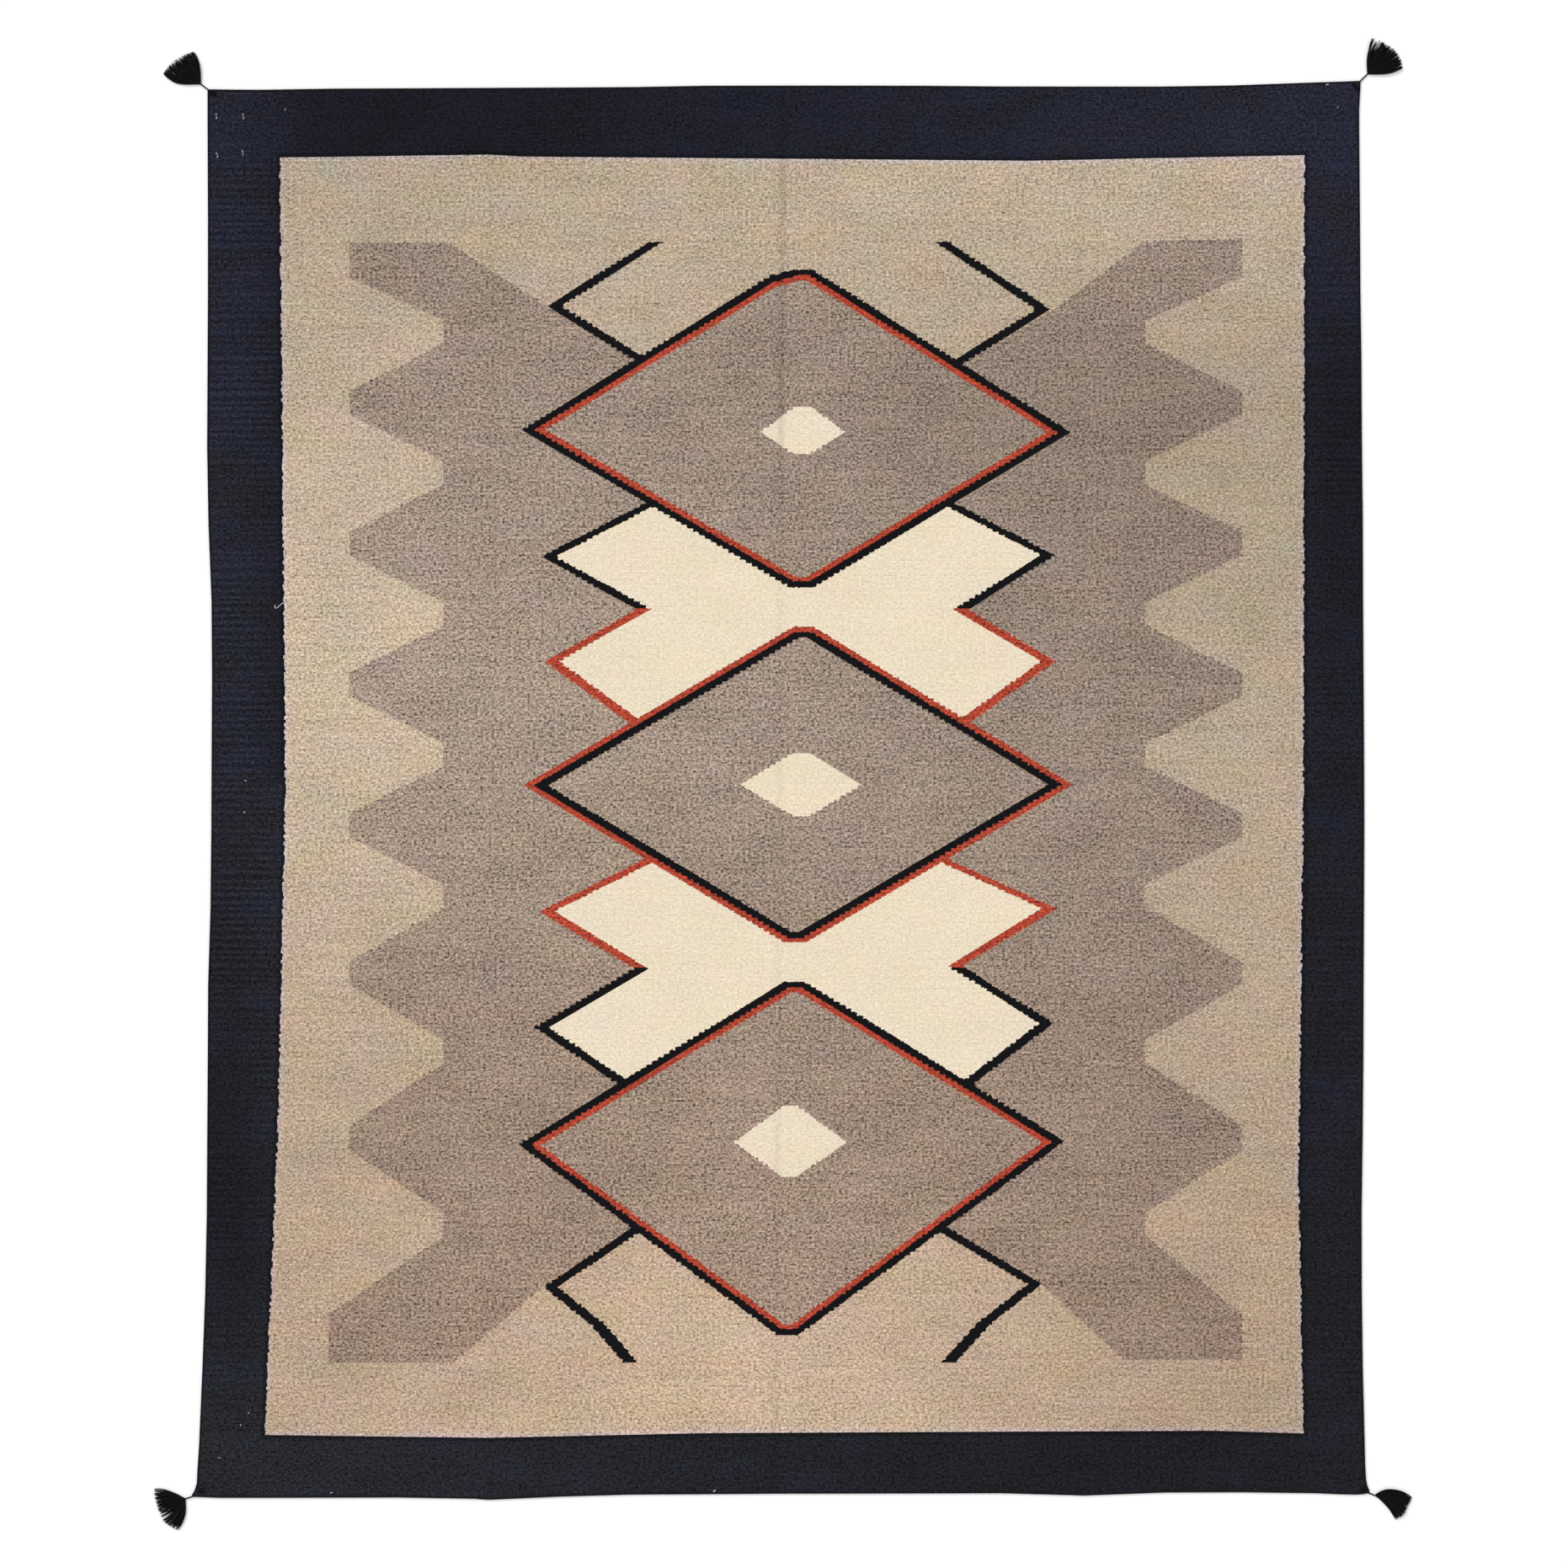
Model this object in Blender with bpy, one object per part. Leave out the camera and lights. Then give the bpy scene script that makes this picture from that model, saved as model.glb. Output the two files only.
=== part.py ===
"""Flat tapestry-woven wool rug with a yarn tassel tied to each corner.

The rug lies flat, face up. The origin is on its underside near the middle,
+X runs across the rug, +Y along it towards its top end, and +Z points up.
All lengths are in metres and all angles in degrees, counted from +X to +Y.
"""

import math
import random

import bmesh
import bpy
from mathutils import Matrix, Vector

# Rug, the woven sheet
COLLECTION = "woven_wool_rug"
RUG_WIDTH = 2.459
RUG_LENGTH = 3.000
RUG_THICKNESS = 0.0050
RUG_CENTRE_X = 0.002
RUG_CENTRE_Y = -0.016

# Selvedge, the bead that the edge yarns make all round
BEAD_WIDTH = 0.0065
BEAD_CREST = 0.0028
BEAD_HEIGHT = 0.0010
EDGE_DROP = 0.0010

# Bow of each side: (place along the side, how far the edge stands out from straight)
LEFT_BOW = [
    (-1.516, 0.035), (-1.501, 0.027), (-1.481, 0.022), (-1.307, 0.012),
    (-1.020, 0.004), (-0.877, 0.001), (-0.446, -0.001), (-0.303, -0.006),
    (-0.130, -0.008), (0.342, -0.010), (0.486, -0.005), (0.629, 0.001),
    (1.131, -0.001), (1.484, 0.000),
]
RIGHT_BOW = [
    (-1.509, 0.015), (-1.495, 0.008), (-1.451, 0.006), (-1.307, 0.001),
    (-0.985, -0.002), (-0.590, 0.002), (-0.088, 0.004), (0.486, 0.001),
    (0.844, -0.002), (1.131, -0.005), (1.418, -0.007), (1.484, -0.004),
]
TOP_BOW = [
    (-1.227, -0.005), (-1.130, -0.006), (-0.900, -0.003), (-0.400, -0.001),
    (-0.130, 0.003), (0.230, 0.003), (0.520, 0.001), (0.805, 0.001),
    (1.020, 0.004), (1.164, 0.011), (1.230, 0.013),
]
BOTTOM_BOW = [
    (-1.262, 0.002), (-1.190, 0.004), (-0.700, 0.003), (-0.625, 0.008),
    (-0.550, 0.003), (-0.340, -0.003), (0.020, -0.005), (0.560, -0.006),
    (0.635, -0.001), (0.710, -0.005), (0.850, -0.008), (1.060, -0.008),
    (1.224, -0.003), (1.247, -0.006),
]

# Fold lines left from storage: (place across the rug, depth, half width)
FOLD_LINES = [
    (-0.620, 0.0005, 0.016),
    (-0.005, 0.0009, 0.014),
    (0.631, 0.0005, 0.016),
]

# Ripples, the slight unevenness of the woven face
RIPPLE_HEIGHT = 0.00035
RIPPLE_LENGTH_ACROSS = 0.83
RIPPLE_LENGTH_ALONG = 0.57

# Corner sewing, a low hump where the tie is stitched on
SEWN_REACH = 0.018
SEWN_HEIGHT = 0.0011

# Grid of the sheet: lines close to the edges, then about evenly spaced ones
EDGE_LINES = [0.0, BEAD_CREST, BEAD_WIDTH, 0.015, 0.030, 0.060, 0.110]
LINE_SPACING = 0.16

# Gap between pieces that touch
SEAM_GAP = 0.0003

# Ties, two-ply twisted yarn between each corner and its tassel
TIE_WAIST_RADIUS = 0.00105
TIE_RADIUS = 0.00175
TIE_TWIST_PITCH = 0.012
TIE_SECTIONS = 9
TIE_SIDES = 12
TIE_HEIGHT = 0.0025

# Heads, the small flattened knots that hold the yarns of a tassel
HEAD_ARC = 0.0160
HEAD_HALF_WIDTH = 0.0078
HEAD_HALF_HEIGHT = 0.0048
HEAD_CENTRE_HEIGHT = 0.0024
HEAD_LENGTH_SHARE = 0.64
HEAD_SEGMENTS = 14
HEAD_RINGS = 8

# Yarns of a tassel: layers that lie on each other, the lowest one on the floor
LAYERS = 4
YARNS_IN_LAYER = 16
YARN_WIDTH = 0.0022
YARN_HEIGHT = 0.0015
YARN_SLOPE = 1.3
YARN_FILL = 0.70
YARN_STATIONS = (0.0, 0.2, 0.45, 0.72, 1.0)
ROOT_SHARE = 0.6
ROOT_LAYER_STEP = 0.0014
TIP_LAYER_STEP = 0.0019
STEP_GROWTH = 3.0
LAYER_HUMP = 0.0011
LAYER_STAGGER = 0.5
UPPER_LAYER_SHORTER = 0.035
LENGTH_SCATTER = 0.045
YARN_SEED = 7

# Tassels. Each row names the rug corner (0 left or bottom, 1 right or top) and the
# tie's run and direction. The yarns leave the root between the two directions in
# "root_fan" and bend, more sharply near the tips where "bend" is higher, to those in
# "tip_fan". "lengths" are at even steps from the first side of the fan to the second.
TASSELS = [
    {"name": "top_left", "corner": (0, 1), "tie_run": 0.0178, "tie_direction": 142.5,
     "root_fan": (183.0, 90.0), "tip_fan": (166.0, 102.0), "bend": 2.8,
     "lengths": (0.083, 0.076, 0.070, 0.070)},
    {"name": "top_right", "corner": (1, 1), "tie_run": 0.0205, "tie_direction": 44.5,
     "root_fan": (-4.0, 95.0), "tip_fan": (8.0, 84.0), "bend": 1.6,
     "lengths": (0.075, 0.077, 0.075, 0.076)},
    {"name": "bottom_left", "corner": (0, 0), "tie_run": 0.0126, "tie_direction": 196.0,
     "root_fan": (150.0, 275.0), "tip_fan": (161.0, 258.0), "bend": 1.8,
     "lengths": (0.069, 0.061, 0.066, 0.068)},
    {"name": "bottom_right", "corner": (1, 0), "tie_run": 0.0123, "tie_direction": -20.5,
     "root_fan": (46.0, -36.0), "tip_fan": (-2.0, -49.0), "bend": 0.9,
     "lengths": (0.079, 0.074, 0.073, 0.068)},
]

# Finishes: (name, colour, roughness, angle above which an edge is shaded sharp)
RUG_FINISH = ("tapestry_wool", (0.017, 0.017, 0.024, 1.0), 0.95, 40.0)
YARN_FINISH = ("tassel_yarn", (0.006, 0.006, 0.007, 1.0), 0.90, 50.0)


def clear_scene():
    """Remove the objects that a new file starts with."""
    for thing in list(bpy.data.objects):
        bpy.data.objects.remove(thing, do_unlink=True)


def make_material(name, colour, roughness):
    """Return a Principled material with a colour and a roughness."""
    material = bpy.data.materials.new(name)
    material.use_nodes = True
    shader = material.node_tree.nodes["Principled BSDF"]
    shader.inputs["Base Color"].default_value = colour
    shader.inputs["Roughness"].default_value = roughness
    shader.inputs["Metallic"].default_value = 0.0
    return material


def add_object(name, bm, finish, collection):
    """Turn the bmesh into a named object with the finish, smooth but at sharp edges."""
    finish_name, colour, roughness, sharp_angle = finish
    mesh = bpy.data.meshes.new(name)
    bm.to_mesh(mesh)
    bm.free()
    mesh.shade_smooth()
    mesh.set_sharp_from_angle(angle=math.radians(sharp_angle))
    mesh.materials.append(make_material(finish_name, colour, roughness))
    thing = bpy.data.objects.new(name, mesh)
    collection.objects.link(thing)
    return thing


def mix(first, second, share):
    """Return the value at a share of the way from the first to the second."""
    return first + (second - first) * share


def ease(share):
    """Return a share from 0 to 1, eased at both ends and held outside them."""
    share = min(max(share, 0.0), 1.0)
    return share * share * (3.0 - 2.0 * share)


def read_table(table, place):
    """Return the table's second column at a place in its first, eased between rows."""
    if place <= table[0][0]:
        return table[0][1]
    for (start, low), (end, high) in zip(table, table[1:]):
        if place <= end:
            return mix(low, high, ease((place - start) / (end - start)))
    return table[-1][1]


def plan_direction(degrees):
    """Return the flat unit vector in a direction."""
    angle = math.radians(degrees)
    return Vector((math.cos(angle), math.sin(angle), 0.0))


def rug_point(across, along):
    """Return the point of the sheet at shares 0 to 1 across and along it, in plan."""
    straight_y = RUG_CENTRE_Y + RUG_LENGTH * (along - 0.5)
    left = RUG_CENTRE_X - RUG_WIDTH / 2.0 - read_table(LEFT_BOW, straight_y)
    right = RUG_CENTRE_X + RUG_WIDTH / 2.0 + read_table(RIGHT_BOW, straight_y)
    x = mix(left, right, across)
    bottom = RUG_CENTRE_Y - RUG_LENGTH / 2.0 - read_table(BOTTOM_BOW, x)
    top = RUG_CENTRE_Y + RUG_LENGTH / 2.0 + read_table(TOP_BOW, x)
    return Vector((x, mix(bottom, top, along), 0.0))


def bead_profile(depth):
    """Return how far the face stands above the sheet at a depth in from the edge."""
    if depth >= BEAD_WIDTH:
        return 0.0
    if depth <= BEAD_CREST:
        return mix(-EDGE_DROP, BEAD_HEIGHT, depth / BEAD_CREST)
    return BEAD_HEIGHT * (BEAD_WIDTH - depth) / (BEAD_WIDTH - BEAD_CREST)


def face_height(point, depth, corner_distance):
    """Return the height of the face: its bead, fold lines, ripples and corner humps."""
    height = RUG_THICKNESS + bead_profile(depth)
    for place, fold_depth, half_width in FOLD_LINES:
        height -= fold_depth * (1.0 - ease(abs(point.x - place) / half_width))
    across_wave = math.sin(2.0 * math.pi * point.x / RIPPLE_LENGTH_ACROSS)
    along_wave = math.sin(2.0 * math.pi * point.y / RIPPLE_LENGTH_ALONG + point.x)
    height += RIPPLE_HEIGHT * across_wave * along_wave
    height += SEWN_HEIGHT * (1.0 - ease(corner_distance / SEWN_REACH))
    return height


def grid_lines(length, kept_places):
    """Return the grid's lines from 0 to length: edge lines, kept places, even fill."""
    lines = EDGE_LINES + [length - step for step in EDGE_LINES] + kept_places
    lines.sort()
    filled = []
    for start, end in zip(lines, lines[1:]):
        parts = max(1, round((end - start) / LINE_SPACING))
        filled += [mix(start, end, part / parts) for part in range(parts)]
    filled.append(lines[-1])
    return filled


def make_rug(collection):
    """Model the woven sheet: a grid bent to the outline, thickened down to the floor."""
    fold_places = []
    for place, _, half_width in FOLD_LINES:
        middle = place - RUG_CENTRE_X + RUG_WIDTH / 2.0
        fold_places += [middle - half_width, middle, middle + half_width]
    columns = grid_lines(RUG_WIDTH, fold_places)
    rows = grid_lines(RUG_LENGTH, [])
    corners = [rug_point(across, along) for across in (0, 1) for along in (0, 1)]

    bm = bmesh.new()
    bmesh.ops.create_grid(
        bm, x_segments=len(columns) - 1, y_segments=len(rows) - 1, size=0.5)
    for vertex in bm.verts:
        column = columns[round((vertex.co.x + 0.5) * (len(columns) - 1))]
        row = rows[round((vertex.co.y + 0.5) * (len(rows) - 1))]
        point = rug_point(column / RUG_WIDTH, row / RUG_LENGTH)
        depth = min(column, RUG_WIDTH - column, row, RUG_LENGTH - row)
        corner_distance = min((point - corner).length for corner in corners)
        point.z = face_height(point, depth, corner_distance)
        vertex.co = point

    thickened = bmesh.ops.extrude_face_region(bm, geom=bm.faces[:])
    for item in thickened["geom"]:
        if isinstance(item, bmesh.types.BMVert):
            item.co.z = 0.0
    bmesh.ops.recalc_face_normals(bm, faces=bm.faces[:])
    return add_object("rug", bm, RUG_FINISH, collection)


def add_loft(bm, rings):
    """Add one closed body through rings of points that have the same number of sides."""
    rings = [[bm.verts.new(point) for point in ring] for ring in rings]
    sides = len(rings[0])
    for ring, following in zip(rings, rings[1:]):
        for side in range(sides):
            beside = (side + 1) % sides
            bm.faces.new((ring[side], ring[beside], following[beside], following[side]))
    bm.faces.new(list(reversed(rings[0])))
    bm.faces.new(rings[-1])


def make_tie(tassel, corner, collection):
    """Model the two-ply twisted yarn that runs from the corner to the tassel's head."""
    forward = plan_direction(tassel["tie_direction"])
    sideways = plan_direction(tassel["tie_direction"] + 90.0)
    upward = Vector((0.0, 0.0, 1.0))
    length = tassel["tie_run"] - 2.0 * SEAM_GAP
    start = corner + forward * SEAM_GAP + upward * TIE_HEIGHT
    rings = []
    for section in range(TIE_SECTIONS):
        distance = length * section / (TIE_SECTIONS - 1)
        turn = 2.0 * math.pi * distance / TIE_TWIST_PITCH
        ring = []
        for side in range(TIE_SIDES):
            angle = 2.0 * math.pi * side / TIE_SIDES
            radius = mix(TIE_WAIST_RADIUS, TIE_RADIUS, abs(math.cos(angle - turn)))
            outward = sideways * math.cos(angle) + upward * math.sin(angle)
            ring.append(start + forward * distance + outward * radius)
        rings.append(ring)
    bm = bmesh.new()
    add_loft(bm, rings)
    bmesh.ops.recalc_face_normals(bm, faces=bm.faces[:])
    return add_object("tie_" + tassel["name"], bm, YARN_FINISH, collection)


def root_span(tassel):
    """Return the unsigned angle over which the yarns leave the root, in radians."""
    first, last = tassel["root_fan"]
    return math.radians(abs(last - first))


def tip_span(tassel):
    """Return the unsigned angle over which the yarns' tips lie, in radians."""
    first, last = tassel["tip_fan"]
    return math.radians(abs(last - first))


def head_reach(tassel):
    """Return how far the head reaches from its root, less where the fan is wide."""
    return HEAD_ARC / root_span(tassel)


def add_head(bm, tassel, root):
    """Add the tied head: a rounded knot, flat where it lies on the floor.

    It points halfway between the tie's direction and the middle of the fan.
    """
    half_length = head_reach(tassel) * HEAD_LENGTH_SHARE
    fan_middle = mix(*tassel["root_fan"], 0.5)
    head_direction = mix(tassel["tie_direction"], fan_middle, 0.5)
    turn = Matrix.Rotation(math.radians(head_direction), 4, "Z")
    sphere = bmesh.ops.create_uvsphere(
        bm, u_segments=HEAD_SEGMENTS, v_segments=HEAD_RINGS, radius=1.0)
    for vertex in sphere["verts"]:
        along = half_length * (1.0 + vertex.co.x)
        across = HEAD_HALF_WIDTH * vertex.co.y
        height = max(0.0, HEAD_CENTRE_HEIGHT + HEAD_HALF_HEIGHT * vertex.co.z)
        vertex.co = root + turn @ Vector((along, across, height))


def yarn_length(tassel, share, layer, scatter):
    """Return a yarn's length at a share across the fan, shorter in upper layers."""
    lengths = tassel["lengths"]
    place = share * (len(lengths) - 1)
    index = min(int(place), len(lengths) - 2)
    length = mix(lengths[index], lengths[index + 1], place - index)
    return length * (1.0 - UPPER_LAYER_SHORTER * layer - LENGTH_SCATTER * scatter)


def yarn_rings(tassel, root, layer, place, scatter):
    """Return the three-sided rings of one yarn, flat side down, from root to tip."""
    share = (place + LAYER_STAGGER * (0.5 + layer % 2)) / YARNS_IN_LAYER
    length = yarn_length(tassel, share, layer, scatter)
    root_direction = mix(*tassel["root_fan"], share)
    tip_direction = mix(*tassel["tip_fan"], share)
    root_distance = head_reach(tassel) * ROOT_SHARE
    rings = []
    for station in YARN_STATIONS:
        distance = mix(root_distance, length, station)
        bend = station ** tassel["bend"]
        direction = mix(root_direction, tip_direction, bend)
        span = mix(root_span(tassel), tip_span(tassel), bend)
        pitch = distance * span / YARNS_IN_LAYER
        width = min(YARN_WIDTH, YARN_FILL * pitch)
        step = mix(ROOT_LAYER_STEP, TIP_LAYER_STEP, ease(station * STEP_GROWTH))
        hump = LAYER_HUMP * layer / LAYERS * math.sin(math.pi * station)
        middle = root + plan_direction(direction) * distance
        middle.z = layer * step + hump
        sideways = plan_direction(direction + 90.0) * (width / 2.0)
        crest = Vector((0.0, 0.0, min(YARN_HEIGHT, width * YARN_SLOPE)))
        rings.append([middle - sideways, middle + sideways, middle + crest])
    return rings


def make_yarns(tassel, root, cutters):
    """Model all the yarns of one tassel as separate bodies of one guide object."""
    scatter = random.Random(YARN_SEED + len(tassel["name"]))
    bm = bmesh.new()
    for layer in range(LAYERS):
        for place in range(YARNS_IN_LAYER):
            add_loft(bm, yarn_rings(tassel, root, layer, place, scatter.random()))
    bmesh.ops.recalc_face_normals(bm, faces=bm.faces[:])
    yarns = add_object("yarns_" + tassel["name"], bm, YARN_FINISH, cutters)
    yarns.hide_render = True
    yarns.display_type = "WIRE"
    return yarns


def make_tassel(tassel, corner, collection, cutters):
    """Model one tassel: its head with all its yarns fused into it by their roots."""
    root = corner + plan_direction(tassel["tie_direction"]) * tassel["tie_run"]
    bm = bmesh.new()
    add_head(bm, tassel, root)
    head = add_object("tassel_" + tassel["name"], bm, YARN_FINISH, collection)
    union = head.modifiers.new("yarns", "BOOLEAN")
    union.operation = "UNION"
    union.solver = "EXACT"
    union.object = make_yarns(tassel, root, cutters)
    return head


def main():
    """Build the rug, then the tie and the tassel of each corner."""
    clear_scene()
    collection = bpy.data.collections.new(COLLECTION)
    cutters = bpy.data.collections.new(COLLECTION + "_cutters")
    bpy.context.scene.collection.children.link(collection)
    bpy.context.scene.collection.children.link(cutters)
    make_rug(collection)
    for tassel in TASSELS:
        corner = rug_point(*tassel["corner"])
        make_tie(tassel, corner, collection)
        make_tassel(tassel, corner, collection, cutters)


main()
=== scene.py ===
"""Looks of a southwest style wool rug: its woven pattern, selvedge, ties and tassels.

The rug lies face up on the floor and is seen from straight above. Lengths are in
metres, or in millimetres where a name ends in _MM. Angles are in degrees, counted
from +X to +Y. The corners of the diamonds and bands, the ends of the panels and the
border's inner edge are places measured on the photograph. The serrated sides of the
panels are worked out from the gaps and depths of their notches, rounded from there too.
"""

import math
import random

import bmesh
import bpy
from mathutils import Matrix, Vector


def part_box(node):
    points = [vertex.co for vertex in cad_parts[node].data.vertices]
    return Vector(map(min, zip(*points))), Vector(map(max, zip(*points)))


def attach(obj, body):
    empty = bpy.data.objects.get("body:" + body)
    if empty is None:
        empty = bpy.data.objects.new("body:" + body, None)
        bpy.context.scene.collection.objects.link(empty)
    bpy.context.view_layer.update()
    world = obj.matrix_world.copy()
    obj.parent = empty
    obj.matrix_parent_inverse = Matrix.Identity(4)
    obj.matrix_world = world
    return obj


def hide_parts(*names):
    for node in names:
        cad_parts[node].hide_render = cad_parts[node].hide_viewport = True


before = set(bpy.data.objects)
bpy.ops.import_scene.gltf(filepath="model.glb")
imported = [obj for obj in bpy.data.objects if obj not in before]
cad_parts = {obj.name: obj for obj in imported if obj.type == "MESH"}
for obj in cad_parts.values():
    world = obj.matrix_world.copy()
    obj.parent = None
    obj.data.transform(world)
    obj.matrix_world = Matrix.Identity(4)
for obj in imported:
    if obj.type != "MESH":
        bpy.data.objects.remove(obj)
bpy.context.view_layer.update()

MM = 0.001

# Reading the solid's outline: walls are steeper than this, and a point is placed between
# its sides in a few passes
WALL_SLOPE = 0.2
OUTLINE_PASSES = 3

# Camera: straight above the rug, as in the photograph
VIEW_WIDTH = 3.3386
LENS_MM = 85.0
SENSOR_MM = 36.0

# Light: even from all sides, with a wide soft key from the upper left
WORLD_STRENGTH = 0.93
KEY_PLACE = (-3.2, 3.4, 3.8)
KEY_ANGLE = 28.0
KEY_STRENGTH = 1.50
FLOOR_SIZE = 40.0
FLOOR_COLOUR = (0.86, 0.86, 0.86, 1.0)
FLOOR_ROUGHNESS = 0.9

# Cloth
CLOTH_CELL = 0.0098
CLOTH_THICKNESS = 0.0050
CLOTH_INSET = 0.0018
CLOTH_UNDERSIDE = 0.0003
EDGE_ROUNDING = 0.0050
EDGE_DROP = 0.0018
CLOTH_SHARP_ANGLE = 50.0

# Weave: one visible stitch of weft, and the steps that slanting colour joints make
STITCH_WIDTH = 0.0068
STITCH_HEIGHT = 0.0041
STEP_WIDTH = 0.0125
STEP_HEIGHT = 0.0074
STEP_SHARE = 0.42
TOOTH_HEIGHT = 0.0072
TOOTH_DEPTH = 0.0046
FRAYING = 0.0070
WEAVE_RELIEF = 0.0006
WEAVE_FIBRE_SPOT = 0.0016
WEAVE_FIBRE_SHARE = 0.6

# Heather: sizes of the spots of fibres, streaks of weft, tinted spots and patches of mixed
# fleece, how strong each is in the grain, and the shares by which they are squeezed
# together along x, which makes the spots longer along the weft
FIBRE_SPOT = 0.0047
STREAK_SPOT = 0.0080
TINT_SPOT = 0.075
PATCH_SPOT = 0.11
GRAIN_SHARES = {"fibre": 2.8, "stitch": 0.22, "streak": 0.40, "patch": 0.35}
FIBRE_SQUEEZE = 0.8
SPOT_SQUEEZE = 0.6
STREAK_SQUEEZE = 0.03
DARKEST_GRAIN = 0.1

# Border: the painted light and shade of its ribs, which sway and come and go, the darker
# band of turned wefts along the joint with the field, and the paler wefts of the field
# beside it. Spans are (where it starts, where it ends).
RIB_PITCH = 0.0148
RIB_SHADE_STRENGTH = 0.40
RIB_SWAY = 14.0
RIB_SWAY_SPOT = 0.060
RIB_PATCH_SPOT = 0.25
RIB_PATCH_NOISE = (0.35, 0.65)
RIB_PATCH_LEAST = 0.15
RIB_LEFT_SPAN = (-1.10, -1.04)
RIB_RIGHT_SPAN = (1.04, 1.10)
RIB_END_SPAN = (1.26, 1.38)
RIB_SHARES = {"left": 1.0, "middle": 0.15, "right": 0.45, "end": 0.2}
JOINT_BAND = 0.011
JOINT_FADE = 0.4
JOINT_SHADE = 0.45
PALE_EDGE = 0.0110
PALE_EDGE_FULL = 0.3
PALE_EDGE_CAST = (1.04, 1.09, 1.36)

# Fold lines left from storage: (place across at the bottom, at the top, depth, half width,
# painted shade in the fold's colour). FOLD_SHARES gives how much of the depth and of the
# painted shade is left along them.
FOLD_LINES = [
    (-0.620, -0.620, 0.0008, 0.016, 0.05),
    (-0.018, -0.002, 0.0016, 0.013, 0.20),
    (0.631, 0.631, 0.0008, 0.016, 0.05),
]
FOLD_SHARES = [(-1.50, 0.60), (-1.15, 0.50), (-0.30, 0.35), (0.45, 0.35), (0.80, 1.00)]

# Soft wrinkles: (start in plan, end, half width, height). A height less than 0 is a
# trough. They fade out at WRINKLE_REACH half widths.
WRINKLES = [
    ((0.640, 0.800), (0.850, 0.868), 0.030, -0.0026),
    ((0.850, 0.868), (0.990, 0.862), 0.026, -0.0020),
    ((0.660, 0.860), (0.860, 0.925), 0.034, 0.0018),
    ((0.700, 1.010), (0.740, 0.960), 0.030, -0.0013),
    ((0.970, 0.665), (1.150, 0.590), 0.018, 0.0012),
    ((0.960, 0.630), (1.120, 0.560), 0.018, -0.0012),
    ((-0.700, 1.090), (-0.560, 0.960), 0.035, -0.0012),
]
WRINKLE_REACH = 2.0
RIPPLES = [
    {"across": 0.83, "along": 0.57, "height": 0.00040},
    {"across": 0.41, "along": 0.97, "height": 0.00025},
    {"across": 0.23, "along": 0.31, "height": 0.00012},
]

# Inner edge of the border: (place along the side, place of the edge across it)
BORDER_LEFT_MM = [(-1384, -1105), (-750, -1077), (0, -1061), (1340, -1073)]
BORDER_RIGHT_MM = [(-1384, 1105), (-840, 1095), (0, 1105), (1340, 1107)]
BORDER_TOP_MM = [(-1075, 1333), (-629, 1339), (-560, 1335), (520, 1326), (1108, 1338)]
BORDER_BOTTOM_MM = [(-1108, -1385), (-629, -1391), (-160, -1381), (910, -1376), (1108, -1382)]

# Serrated panels: how far across their feet, notches and teeth lie, where the sides start
# and end along the rug, the lowest notch, the gaps between the notches from there up, and
# half the length of each flat
PANEL_LEFT_MM = {"foot": -970, "notch": -725, "tooth": -925}
PANEL_RIGHT_MM = {"foot": 975, "notch": 770, "tooth": 975}
PANEL_LOW_MM = -1128
PANEL_HIGH_MM = 1079
FIRST_NOTCH_MM = -938
NOTCH_GAPS_MM = [370, 330, 300, 300, 300, 300]
SERRATION_FLAT_MM = 25

# Top and bottom of the panels: (place across, place along)
PANEL_TOP_MM = [
    (-716, 1153), (-504, 1017), (-312, 898), (382, 895), (574, 1011), (767, 1153),
    (977, 1162),
]
PANEL_BOTTOM_MM = [
    (-701, -1230), (-513, -1070), (-325, -945), (350, -945), (549, -1065), (724, -1226),
]

# Stepped bands behind the diamonds: sides as (place along, place across), the outline's
# yarn below and above "turn", and the yarn that fills them, if any
BANDS_MM = [
    {"left": [(870, -268), (898, -312), (1017, -504), (1157, -282)],
     "right": [(870, 341), (895, 382), (1010, 567), (1151, 355)],
     "low": 870, "high": 1154, "turn": 870, "below": "black", "above": "black",
     "fill": None},
    {"left": [(130, -330), (261, -509), (372, -314), (484, -517), (610, -272)],
     "right": [(130, 395), (261, 578), (371, 392), (487, 577), (610, 340)],
     "low": 130, "high": 610, "turn": 372, "below": "red", "above": "black",
     "fill": "cream"},
    {"left": [(-645, -344), (-518, -531), (-393, -319), (-271, -520), (-150, -277)],
     "right": [(-645, 394), (-509, 574), (-387, 380), (-265, 580), (-150, 328)],
     "low": -645, "high": -150, "turn": -391, "below": "black", "above": "red",
     "fill": "cream"},
    {"left": [(-1232, -341), (-1151, -411), (-1070, -512), (-945, -325), (-925, -290)],
     "right": [(-1230, 366), (-1146, 443), (-1064, 549), (-945, 350), (-925, 318)],
     "low": -1230, "high": -925, "turn": -925, "below": "black", "above": "black",
     "fill": None},
]
BAND_LINE_MM = 31.0

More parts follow.
